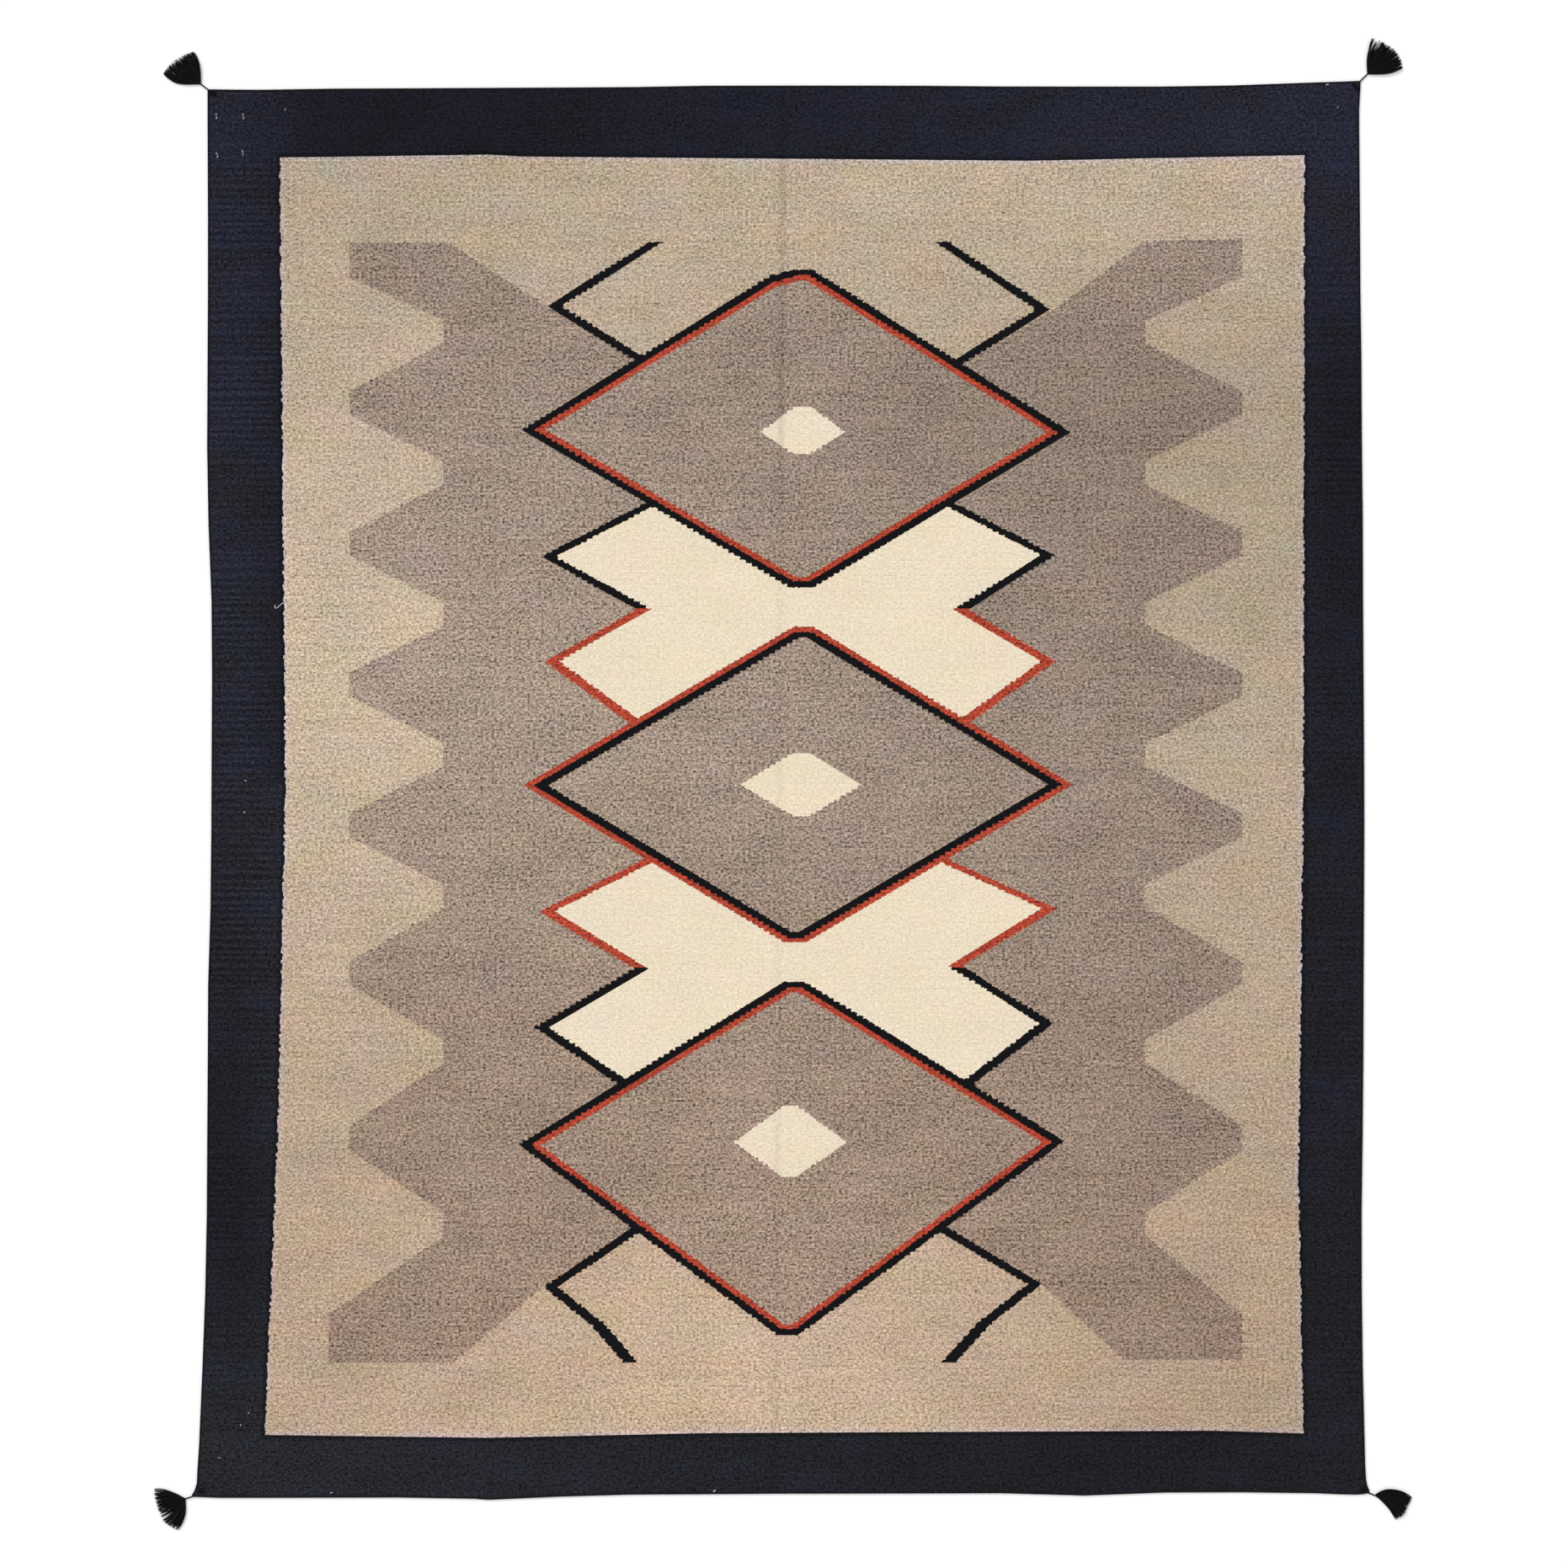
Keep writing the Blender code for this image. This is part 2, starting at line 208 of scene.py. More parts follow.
# Diamonds: tips, flat top and bottom, then the small cream eye inside. Their two lines
# are thinner by FLAT_LINE_SHARE along the flat top and bottom.
DIAMONDS_MM = [
    {"outer": "black", "inner": "red", "outer_line": 15.0,
     "left": (-559, 753), "right": (611, 748),
     "top": ((-30, 1081), (19, 1095), (61, 1095)), "bottom": ((14, 418), (61, 418)),
     "eye_left": (-50, 749), "eye_right": (129, 749),
     "eye_top": ((23, 803), (58, 803)), "eye_bottom": ((20, 703), (56, 703))},
    {"outer": "red", "inner": "black", "outer_line": 11.6,
     "left": (-555, -3), "right": (614, -1),
     "top": ((18, 334), (63, 334)), "bottom": ((2, -337), (46, -337)),
     "eye_left": (-93, -2), "eye_right": (165, -2),
     "eye_top": ((18, 66), (54, 66)), "eye_bottom": ((18, -68), (54, -68))},
    {"outer": "black", "inner": "red", "outer_line": 15.0,
     "left": (-565, -767), "right": (597, -760),
     "top": ((0, -421), (45, -421)), "bottom": ((-13, -1173), (30, -1173)),
     "eye_left": (-106, -762), "eye_right": (134, -762),
     "eye_top": ((0, -685), (28, -685)), "eye_bottom": ((-4, -836), (26, -836))},
]
BOTH_LINES_MM = 26.6
FLAT_LINE_SHARE = 0.85

# Lighter and darker dye lots of the two natural wools, in broad bands rounded from shades
# compared with the photograph: (place along, share) near the left side, near the right
# side, and how much more there is between them
SHADE_LEFT_MM = [(-700, 0.95), (250, 1.20), (1300, 0.90)]
SHADE_RIGHT_MM = [(-1300, 0.85), (0, 0.95), (800, 0.80), (1300, 1.05)]
SHADE_MIDDLE_MM = [(-1300, 0.25), (-300, 0.05)]

# Dye lots of the border, on its four sides. Those of the field blend over FIELD_BLEND_HALF
# to each side of the middle, and those of the border within BORDER_CORNER_SPAN.
BORDER_SHADE_LEFT_MM = [(-1400, 1.8), (-950, 0.9), (0, 1.6)]
BORDER_SHADE_RIGHT_MM = [(-100, 1.2), (850, 0.8), (1200, 1.7)]
BORDER_SHADE_TOP_MM = [(-600, 0.8), (1100, 1.8)]
BORDER_SHADE_BOTTOM_MM = [(-1150, 1.9), (600, 1.1)]
FIELD_BLEND_HALF = 0.9
BORDER_CORNER_SPAN = (1.00, 1.16)

# Wools: linear colour, strength of the heather and of its tinted spots, and which of the
# dye lots above apply. The field turns warmer towards the bottom, and the border turns
# more and more to navy towards the top, in patches.
WOOLS = {
    "beige": {"colour": (0.425, 0.340, 0.250), "heather": 0.98, "tint": 1.0, "lots": "field"},
    "taupe": {"colour": (0.279, 0.216, 0.171), "heather": 1.45, "tint": 0.60, "lots": "field"},
    "cream": {"colour": (0.712, 0.617, 0.466), "heather": 0.30, "tint": 0.45, "lots": None},
    "red": {"colour": (0.365, 0.050, 0.026), "heather": 1.30, "tint": 0.60, "lots": None},
    "black": {"colour": (0.0038, 0.0034, 0.0046), "heather": 0.8, "tint": 0.60, "lots": None},
    "border": {"colour": (0.0084, 0.0088, 0.0112), "heather": 1.65, "tint": 0.80, "lots": "border"},
}
WHITE = (1.0, 1.0, 1.0)
WARM_LOW = (1.05, 0.97, 0.94)
WARM_SPAN = (-1.1, 0.1)
NAVY_HIGH = (1.00, 0.98, 1.45)
NAVY_SPAN = (-0.9, 1.3)
NAVY_PATCHES = 11.0
TINT_STRENGTH = (0.25, 0.11, 0.38)
TASSEL_COLOUR = (0.0042, 0.0040, 0.0050)
TIE_COLOUR = (0.0180, 0.0170, 0.0190)
SELVEDGE_COLOUR = (0.0080, 0.0078, 0.0095)
THREAD_COLOUR = (0.300, 0.300, 0.340)
TASSEL_VARIATION = 0.7
TWISTED_VARIATION = 0.5
YARN_FIBRE_SPOT = 0.0012
YARN_RELIEF = 0.0004
WOOL_ROUGHNESS = 0.95
WOOL_SPECULAR = 0.12
FINE_NOISE = {"detail": 3.0, "roughness": 0.6}

# Selvedge: a two-ply cord along each edge
CORD_INSET = 0.0028
CORD_HEIGHT = 0.0029
CORD_PLY_RADIUS = 0.00175
CORD_TURN_RADIUS = 0.00095
CORD_PITCH = 0.0110

# Ties: two-ply yarns between the corners and the tassels
TIE_HEIGHT = 0.0025
TIE_PLY_RADIUS = 0.00095
TIE_TURN_RADIUS = 0.00080
TIE_PITCH = 0.0080
TIE_OVERLAP = 0.0030
STEPS_A_TURN = 7
PLY_SIDES = 6

# Tassels. Each row names the rug corner (0 left or bottom, 1 right or top) and the
# tie's run and direction. The yarns leave the root between the two directions in
# "root_fan" and bend, more sharply near the tips where "bend" is higher, to those in
# "tip_fan". "lengths" are at even steps from the first side of the fan to the second,
# and "thin_at" is the share across the fan where some yarns end early, if any do.
TASSELS = [
    {"name": "top_left", "corner": (0, 1), "tie_run": 0.0178, "tie_direction": 142.5,
     "root_fan": (183.0, 90.0), "tip_fan": (166.0, 102.0), "bend": 2.8,
     "lengths": (0.083, 0.076, 0.070, 0.070), "thin_at": None},
    {"name": "top_right", "corner": (1, 1), "tie_run": 0.0205, "tie_direction": 44.5,
     "root_fan": (-4.0, 95.0), "tip_fan": (8.0, 84.0), "bend": 1.6,
     "lengths": (0.075, 0.077, 0.075, 0.076), "thin_at": 0.86},
    {"name": "bottom_left", "corner": (0, 0), "tie_run": 0.0126, "tie_direction": 196.0,
     "root_fan": (150.0, 275.0), "tip_fan": (161.0, 258.0), "bend": 1.8,
     "lengths": (0.069, 0.061, 0.066, 0.068), "thin_at": 0.55},
    {"name": "bottom_right", "corner": (1, 0), "tie_run": 0.0123, "tie_direction": -20.5,
     "root_fan": (46.0, -36.0), "tip_fan": (-2.0, -49.0), "bend": 0.9,
     "lengths": (0.079, 0.074, 0.073, 0.068), "thin_at": None},
]
STRANDS = 124
STRAND_RADIUS = 0.00080
STRAND_SIDES = 5
STRAND_STATIONS = 13
STRAND_LOWEST = 0.0007
STRAND_PILE = 0.0060
STRAND_WOBBLE = 0.0007
STRAND_WAVES = (0.8, 1.8)
STRAND_LIFT = 0.3
STRAND_THICKNESSES = (0.8, 1.15)
STRAND_TIP = 0.85
STRAND_SHORTER = 0.09
CLUMPS = 13
CLUMP_MIDDLES = (0.35, 0.65)
CLUMP_PULL = 0.22
CLUMP_START = 0.50
CLUMP_RUN = 0.50
STRAND_SEED = 21
THIN_SPAN = 0.085
THIN_SHARE = 0.62
THIN_LENGTHS = (0.60, 0.85)
ROOT_DISTANCE = 0.0020
ROOT_PILE = 0.0034
ROOT_RISE = 3.0
WRAP_TURNS = 5
WRAP_START = 0.0022
WRAP_PITCH = 0.00115
WRAP_RADIUS = 0.0006
WRAP_STEPS = 26
WRAP_LEAST_WIDTH = 0.0014
WRAP_WIDTH_SHARE = 0.75
WRAP_HALF_HEIGHT = 0.0024
WRAP_MIDDLE_HEIGHT = 0.0031

# Short loose or sewn threads on the border: (x, y, length, direction, radius)
PALE_THREADS_MM = [
    (-1208, 1424, 4.8, 95, 1.4),
    (-1207, 1417, 5.4, 80, 1.5),
    (-1151, 1424, 4.8, 88, 1.4),
    (-1150, 1417, 5.4, 105, 1.5),
    (-1207, 1341, 4.6, 125, 1.3),
    (-1205, 1335, 5.4, 80, 1.5),
    (-1152, 1346, 4.8, 92, 1.2),
    (-1151, 1340, 5.0, 88, 1.1),
    (-1061, 1435, 5.0, 60, 0.8),
    (-1146, 7, 5.0, 150, 1.2),
    (-1148, -60, 5.5, 20, 1.2),
    (-1139, -1338, 4.5, 40, 1.1),
    (-1156, -1364, 4.5, 120, 1.1),
    (-1201, -1433, 5.0, 10, 1.1),
    (-963, -1508, 5.0, 15, 1.1),
    (-148, -1504, 6.0, 35, 1.7),
    (1156, 1488, 6.5, 5, 1.7),
    (1178, 1440, 4.5, 70, 1.2),
]
LOOSE_THREAD_MM = [
    (-1082, 381), (-1084, 377), (-1082, 374), (-1078, 375), (-1074, 379), (-1069, 383),
    (-1063, 387), (-1057, 389),
]
LOOSE_THREAD_RADIUS_MM = 1.1
THREAD_HEIGHT_MM = 5.6
THREAD_ARCH_MM = 0.9
THREAD_HALF_STEPS = 3
THREAD_END = 0.6

# Dark stitches that hold each tie's end at the corners: (x, y, length, direction)
CORNER_STITCHES_MM = [
    (-1215, 1469, 15.0, -6),
    (1217, 1484, 20.0, -42),
    (-1240, -1504, 14.0, 35),
    (1232, -1502, 14.0, 45),
]
CORNER_STITCH_COUNT = 4
CORNER_STITCH_GAP_MM = 2.2
CORNER_STITCH_RADIUS_MM = 1.3


class Graph:
    """Builds the shader nodes of one material with short calls."""

    def __init__(self, name):
        self.material = bpy.data.materials.new(name)
        self.material.use_nodes = True
        self.tree = self.material.node_tree
        self.shader = self.tree.nodes["Principled BSDF"]

    def node(self, kind, inputs, **settings):
        """Add a node, set it, and feed its inputs with sockets or plain values."""
        made = self.tree.nodes.new("ShaderNode" + kind)
        for key, value in settings.items():
            setattr(made, key, value)
        for key, value in inputs.items():
            if isinstance(value, bpy.types.NodeSocket):
                self.tree.links.new(value, made.inputs[key])
            else:
                made.inputs[key].default_value = value
        return made

    def maths(self, operation, *values):
        """Return the result of a maths node."""
        return self.node("Math", dict(enumerate(values)), operation=operation).outputs[0]

    def total(self, values):
        """Return the sum of several sockets."""
        found = values[0]
        for value in values[1:]:
            found = self.maths("ADD", found, value)
        return found

    def smallest(self, values):
        """Return the least of several sockets."""
        found = values[0]
        for value in values[1:]:
            found = self.maths("MINIMUM", found, value)
        return found

    def blend(self, factor, first, second):
        """Return the number at a factor between two."""
        step = self.maths("SUBTRACT", second, first)
        return self.maths("MULTIPLY_ADD", step, factor, first)

    def span(self, value, low, high, to_low=0.0, to_high=1.0):
        """Return a value's place in one span, carried over to another and held in it."""
        inputs = {"Value": value, "From Min": low, "From Max": high,
                  "To Min": to_low, "To Max": to_high}
        return self.node("MapRange", inputs, clamp=True).outputs["Result"]

    def colour(self, factor, first, second):
        """Return the colour at a factor between two."""
        inputs = {0: factor, 6: rgba(first), 7: rgba(second)}
        return self.node("Mix", inputs, data_type="RGBA").outputs[2]

    def vector(self, operation, *values):
        """Return the result of a vector maths node."""
        return self.node("VectorMath", dict(enumerate(values)), operation=operation).outputs[0]

    def scaled(self, vector, scale):
        """Return a vector or colour times a number."""
        inputs = {0: vector, "Scale": scale}
        return self.node("VectorMath", inputs, operation="SCALE").outputs[0]

    def noise(self, vector, size, detail=2.0, roughness=0.5):
        """Return a noise, about 0.5 on average, whose spots have about the given size."""
        inputs = {"Vector": vector, "Scale": 1.0 / size, "Detail": detail,
                  "Roughness": roughness}
        return self.node("TexNoise", inputs).outputs["Fac"]

    def combine(self, x, y, z=0.0):
        """Return the vector with three parts."""
        return self.node("CombineXYZ", {"X": x, "Y": y, "Z": z}).outputs[0]

    def table(self, place, rows):
        """Return a table's second column at a place in its first, straight between rows."""
        steps = []
        for (start, low), (end, high) in zip(rows, rows[1:]):
            if high != low:
                steps.append(self.span(place, start, end, 0.0, high - low))
        return self.maths("ADD", self.total(steps), rows[0][1])

    def depth_inside(self, point, corners, flat_share=1.0):
        """Return how far a point lies inside a convex outline given anticlockwise.

        The point's third part is 1, so one product gives the distance from an edge.
        Lines drawn by this depth are thinner by "flat_share" along level edges.
        """
        depths = []
        for start, end in zip(corners, corners[1:] + corners[:1]):
            along = Vector(end) - Vector(start)
            inward = Vector((-along.y, along.x)) / along.length
            if along.y == 0.0:
                inward /= flat_share
            edge = (inward.x, inward.y, -inward.dot(Vector(start)))
            product = self.node("VectorMath", {0: point, 1: edge}, operation="DOT_PRODUCT")
            depths.append(product.outputs["Value"])
        return self.smallest(depths)


def rgba(value):
    """Return a colour with its fourth part, or a socket as it is."""
    return value if isinstance(value, bpy.types.NodeSocket) else (*value, 1.0)


def mix(first, second, share):
    """Return the value at a share of the way from the first to the second."""
    return first + (second - first) * share


def ease(share):
    """Return a share from 0 to 1, eased at both ends and held outside them."""
    share = min(max(share, 0.0), 1.0)
    return share * share * (3.0 - 2.0 * share)


def metres(rows):
    """Return rows of numbers in millimetres as rows in metres."""
    return [tuple(number * MM for number in row) for row in rows]


# Outline of the rug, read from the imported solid


def read_sides():
    """Return the solid's four sides: bottom and top by x, left and right by y."""
    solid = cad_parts["rug"].data
    found = set()
    for face in solid.polygons:
        if abs(face.normal.z) < WALL_SLOPE:
            for index in face.vertices:
                place = solid.vertices[index].co
                if place.z < MM:
                    found.add((round(place.x, 6), round(place.y, 6)))
    points = sorted(found, key=lambda point: math.atan2(point[1], point[0]))
    corners = [(LOW.x, LOW.y), (HIGH.x, LOW.y), (HIGH.x, HIGH.y), (LOW.x, HIGH.y)]
    starts = [min(range(len(points)), key=lambda i: math.dist(points[i], corner))
              for corner in corners]
    sides = []
    for start, end in zip(starts, starts[1:] + starts[:1]):
        count = (end - start) % len(points)
        sides.append([points[(start + step) % len(points)] for step in range(count + 1)])
    bottom, right, top, left = sides
    return {
        "bottom": sorted(bottom),
        "top": sorted(top),
        "left": sorted((y, x) for x, y in left),
        "right": sorted((y, x) for x, y in right),
    }


def on_side(side, place):
    """Return where a side lies at a place along it, carried on straight past its ends."""
    rows = SIDES[side]
    index = 0
    while index < len(rows) - 2 and place > rows[index + 1][0]:
        index += 1
    (start, low), (end, high) = rows[index], rows[index + 1]
    return mix(low, high, (place - start) / (end - start))


def rug_point(across, along):
    """Return the point of the rug at shares 0 to 1 across and along it, in plan."""
    x = mix(LOW.x, HIGH.x, across)
    y = mix(LOW.y, HIGH.y, along)
    for _ in range(OUTLINE_PASSES):
        x = mix(on_side("left", y), on_side("right", y), across)
        y = mix(on_side("bottom", x), on_side("top", x), along)
    return Vector((x, y, 0.0))


# Cloth


def wrinkle_height(point, start, end, half_width, height):
    """Return how far one soft wrinkle lifts or sinks the cloth at a point."""
    start = Vector(start)
    run = Vector(end) - start
    share = (point.xy - start).dot(run) / run.length_squared
    nearest = start + run * min(max(share, 0.0), 1.0)
    away = (point.xy - nearest).length / half_width
    return height * (1.0 - ease(away / WRINKLE_REACH))


def fold_share(y):
    """Return how much of a fold line is left at a place along the rug."""
    found = FOLD_SHARES[0][1]
    for (start, low), (end, high) in zip(FOLD_SHARES, FOLD_SHARES[1:]):
        found += (high - low) * min(max((y - start) / (end - start), 0.0), 1.0)
    return found


def face_height(point, depth):
    """Return the height of the cloth's face at a depth in from its edge."""
    height = CLOTH_THICKNESS
    height -= EDGE_DROP * (1.0 - ease(depth / EDGE_ROUNDING))
    along = (point.y - LOW.y) / (HIGH.y - LOW.y)
    left = fold_share(point.y)
    for low_place, high_place, fold_depth, half_width, _ in FOLD_LINES:
        away = abs(point.x - mix(low_place, high_place, along))
        height -= fold_depth * left * (1.0 - ease(away / half_width))
    for wrinkle in WRINKLES:
        height += wrinkle_height(point, *wrinkle)
    for ripple in RIPPLES:
        across = math.sin(2.0 * math.pi * point.x / ripple["across"])
        along = math.sin(2.0 * math.pi * point.y / ripple["along"] + point.x)
        height += ripple["height"] * across * along
    return height


def even_lines(count, length):
    """Return even shares from 0 to 1 with two more close to each end for the edge."""
    near = CLOTH_INSET / length
    close = (CLOTH_INSET + EDGE_ROUNDING / 2.0) / length
    inner = (CLOTH_INSET + EDGE_ROUNDING) / length
    middle = [mix(inner, 1.0 - inner, step / count) for step in range(count + 1)]
    return [near, close] + middle + [1.0 - close, 1.0 - near]


def make_cloth():
    """Model the woven sheet as a fine grid on the solid's outline, closed below."""
    width = HIGH.x - LOW.x
    length = HIGH.y - LOW.y
    columns = even_lines(round(width / CLOTH_CELL), width)
    rows = even_lines(round(length / CLOTH_CELL), length)
    bm = bmesh.new()
    bmesh.ops.create_grid(
        bm, x_segments=len(columns) - 1, y_segments=len(rows) - 1, size=0.5)
    for vertex in bm.verts:
        across = columns[round((vertex.co.x + 0.5) * (len(columns) - 1))]
        along = rows[round((vertex.co.y + 0.5) * (len(rows) - 1))]
        point = rug_point(across, along)
        depth = min(across * width, (1.0 - across) * width,
                    along * length, (1.0 - along) * length) - CLOTH_INSET
        point.z = face_height(point, depth)
        vertex.co = point
    rim = [edge for edge in bm.edges if edge.is_boundary]
    wall = bmesh.ops.extrude_edge_only(bm, edges=rim)["geom"]
    lower = [item for item in wall if isinstance(item, bmesh.types.BMVert)]
    for vertex in lower:
        vertex.co.z = CLOTH_UNDERSIDE
    bmesh.ops.contextual_create(bm, geom=[edge for edge in bm.edges if edge.is_boundary])
    bmesh.ops.recalc_face_normals(bm, faces=bm.faces[:])
    return new_piece("rug_cloth", bm, cloth_material(), CLOTH_SHARP_ANGLE)


def new_piece(name, bm, material, sharp_angle=180.0):
    """Turn the bmesh into a shown object that rides with the rug."""
    mesh = bpy.data.meshes.new(name)
    bm.to_mesh(mesh)
    bm.free()
    mesh.shade_smooth()
    mesh.set_sharp_from_angle(angle=math.radians(sharp_angle))
    mesh.materials.append(material)
    piece = bpy.data.objects.new(name, mesh)
    bpy.context.scene.collection.objects.link(piece)
    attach(piece, "root")
    return piece


# Materials


def weave_places(graph):
    """Return the coordinates and random values of the weave at the shaded point."""
    point = graph.node("TexCoord", {}).outputs["Object"]
    parts = graph.node("SeparateXYZ", {"Vector": point}).outputs
    x, y = parts["X"], parts["Y"]
    row = graph.maths("FLOOR", graph.maths("DIVIDE", y, STITCH_HEIGHT))
    parity = graph.maths("PINGPONG", row, 1.0)
    in_row = graph.maths("MULTIPLY_ADD", parity, 0.5, graph.maths("DIVIDE", x, STITCH_WIDTH))
    column = graph.maths("FLOOR", in_row)
    across = graph.maths("SUBTRACT", in_row, column)
    along = graph.maths("FRACT", graph.maths("DIVIDE", y, STITCH_HEIGHT))
    stitch = graph.node("TexWhiteNoise", {"Vector": graph.combine(column, row)})
    tooth_row = graph.maths("FLOOR", graph.maths("DIVIDE", y, TOOTH_HEIGHT))
    tooth = graph.node("TexWhiteNoise", {"W": tooth_row}, noise_dimensions="1D")
    fibre = graph.noise(graph.combine(graph.maths("MULTIPLY", x, FIBRE_SQUEEZE), y),
                        FIBRE_SPOT, roughness=FINE_NOISE["roughness"])
    frayed = [graph.maths("MULTIPLY_ADD", fibre, FRAYING,
                          graph.maths("SUBTRACT", value, FRAYING / 2.0)) for value in (x, y)]
    stepped = [
        graph.blend(STEP_SHARE, value, graph.maths("SNAP", graph.maths(
            "ADD", value, size / 2.0), size))
        for value, size in zip(frayed, (STEP_WIDTH, STEP_HEIGHT))
    ]
    return {
        "x": x,
        "y": y,
        "point": point,
        "fibre": fibre,
        "stretched": graph.combine(graph.maths("MULTIPLY", x, SPOT_SQUEEZE), y),
        "streaked": graph.combine(graph.maths("MULTIPLY", x, STREAK_SQUEEZE), y),
        "stitch_random": stitch.outputs["Value"],
        "across_stitch": across,
        "along_stitch": along,
        "toothed_x": graph.maths("MULTIPLY_ADD", tooth.outputs["Value"], TOOTH_DEPTH,
                                 graph.maths("SUBTRACT", x, TOOTH_DEPTH / 2.0)),
        "step_x": stepped[0],
        "step_y": stepped[1],
    }


def wool_colours(graph, place):
    """Return a socket for each wool: heathered fibres, tinted spots and dye lots."""
    layers = {
        "fibre": place["fibre"],
        "stitch": place["stitch_random"],
        "streak": graph.noise(place["streaked"], STREAK_SPOT, **FINE_NOISE),
        "patch": graph.noise(place["stretched"], PATCH_SPOT, **FINE_NOISE),
    }
    centred = {name: graph.maths("SUBTRACT", layer, 0.5) for name, layer in layers.items()}
    grain = graph.total([graph.maths("MULTIPLY", centred[name], share)
                         for name, share in GRAIN_SHARES.items()])
    tint = graph.node("TexNoise", {"Vector": place["stretched"], "Scale": 1.0 / TINT_SPOT,
                                   "Detail": FINE_NOISE["detail"]}).outputs["Color"]
    level = tuple(1.0 - strength / 2.0 for strength in TINT_STRENGTH)
    tint = graph.vector("MULTIPLY_ADD", tint, TINT_STRENGTH, level)
    low = graph.span(place["y"], *WARM_SPAN, 1.0, 0.0)
    patched = graph.maths("MULTIPLY_ADD", centred["patch"], NAVY_PATCHES, place["y"])
    high = graph.span(patched, *NAVY_SPAN)
    lots = {"field": field_shade(graph, place), "border": border_shade(graph, place)}
    casts = {"field": graph.colour(low, WHITE, WARM_LOW),
             "border": graph.colour(high, WHITE, NAVY_HIGH)}
    wools = {}
    for name, wool in WOOLS.items():
        brightness = graph.maths("MULTIPLY_ADD", grain, wool["heather"], 1.0)
        spots = graph.colour(wool["tint"], WHITE, tint)
        colour = graph.vector("MULTIPLY", spots, wool["colour"])
        if wool["lots"]:
            brightness = graph.maths("MULTIPLY", brightness, lots[wool["lots"]])
            colour = graph.vector("MULTIPLY", colour, casts[wool["lots"]])
        wools[name] = graph.scaled(colour, graph.maths("MAXIMUM", brightness, DARKEST_GRAIN))
    return wools


def field_shade(graph, place):
    """Return the dye lots of the field's two natural wools."""
    across = {"Value": place["x"], "From Min": -FIELD_BLEND_HALF, "From Max": FIELD_BLEND_HALF}
    half = graph.node("MapRange", across, interpolation_type="SMOOTHSTEP").outputs["Result"]
    lot = graph.blend(half, graph.table(place["y"], shares(SHADE_LEFT_MM)),
                      graph.table(place["y"], shares(SHADE_RIGHT_MM)))
    middle = graph.span(graph.maths("ABSOLUTE", place["x"]), 0.0, FIELD_BLEND_HALF, 1.0, 0.0)
    more = graph.maths("MULTIPLY", middle, graph.table(place["y"], shares(SHADE_MIDDLE_MM)))
    return graph.maths("ADD", lot, more)


def border_shade(graph, place):
    """Return the dye lots of the border's four sides, run into each other at the corners."""
    x, y = place["x"], place["y"]
    left = graph.table(y, shares(BORDER_SHADE_LEFT_MM))
    right = graph.table(y, shares(BORDER_SHADE_RIGHT_MM))
    top = graph.table(x, shares(BORDER_SHADE_TOP_MM))
    bottom = graph.table(x, shares(BORDER_SHADE_BOTTOM_MM))
    sides = graph.blend(graph.maths("GREATER_THAN", x, 0.0), left, right)
    ends = graph.blend(graph.maths("GREATER_THAN", y, 0.0), bottom, top)
    at_side = graph.span(graph.maths("ABSOLUTE", x), *BORDER_CORNER_SPAN)
    return graph.blend(at_side, ends, sides)


def shares(rows):
    """Return rows of (place in millimetres, share) with the place in metres."""
    return [(place * MM, share) for place, share in rows]


def serrated_side(panel):
    """Return the corners of a panel's serrated side, from the lowest up."""
    notches = [FIRST_NOTCH_MM + sum(NOTCH_GAPS_MM[:count])
               for count in range(len(NOTCH_GAPS_MM) + 1)]
    rows = [(PANEL_LOW_MM, panel["foot"])]
    for index, notch in enumerate(notches):
        rows.append((notch - SERRATION_FLAT_MM, panel["notch"]))
        rows.append((notch + SERRATION_FLAT_MM, panel["notch"]))
        if notch != notches[-1]:
            tooth = (notch + notches[index + 1]) / 2.0
            rows.append((tooth - SERRATION_FLAT_MM, panel["tooth"]))
            rows.append((tooth + SERRATION_FLAT_MM, panel["tooth"]))
    rows.append((PANEL_HIGH_MM, panel["tooth"]))
    return metres(rows)


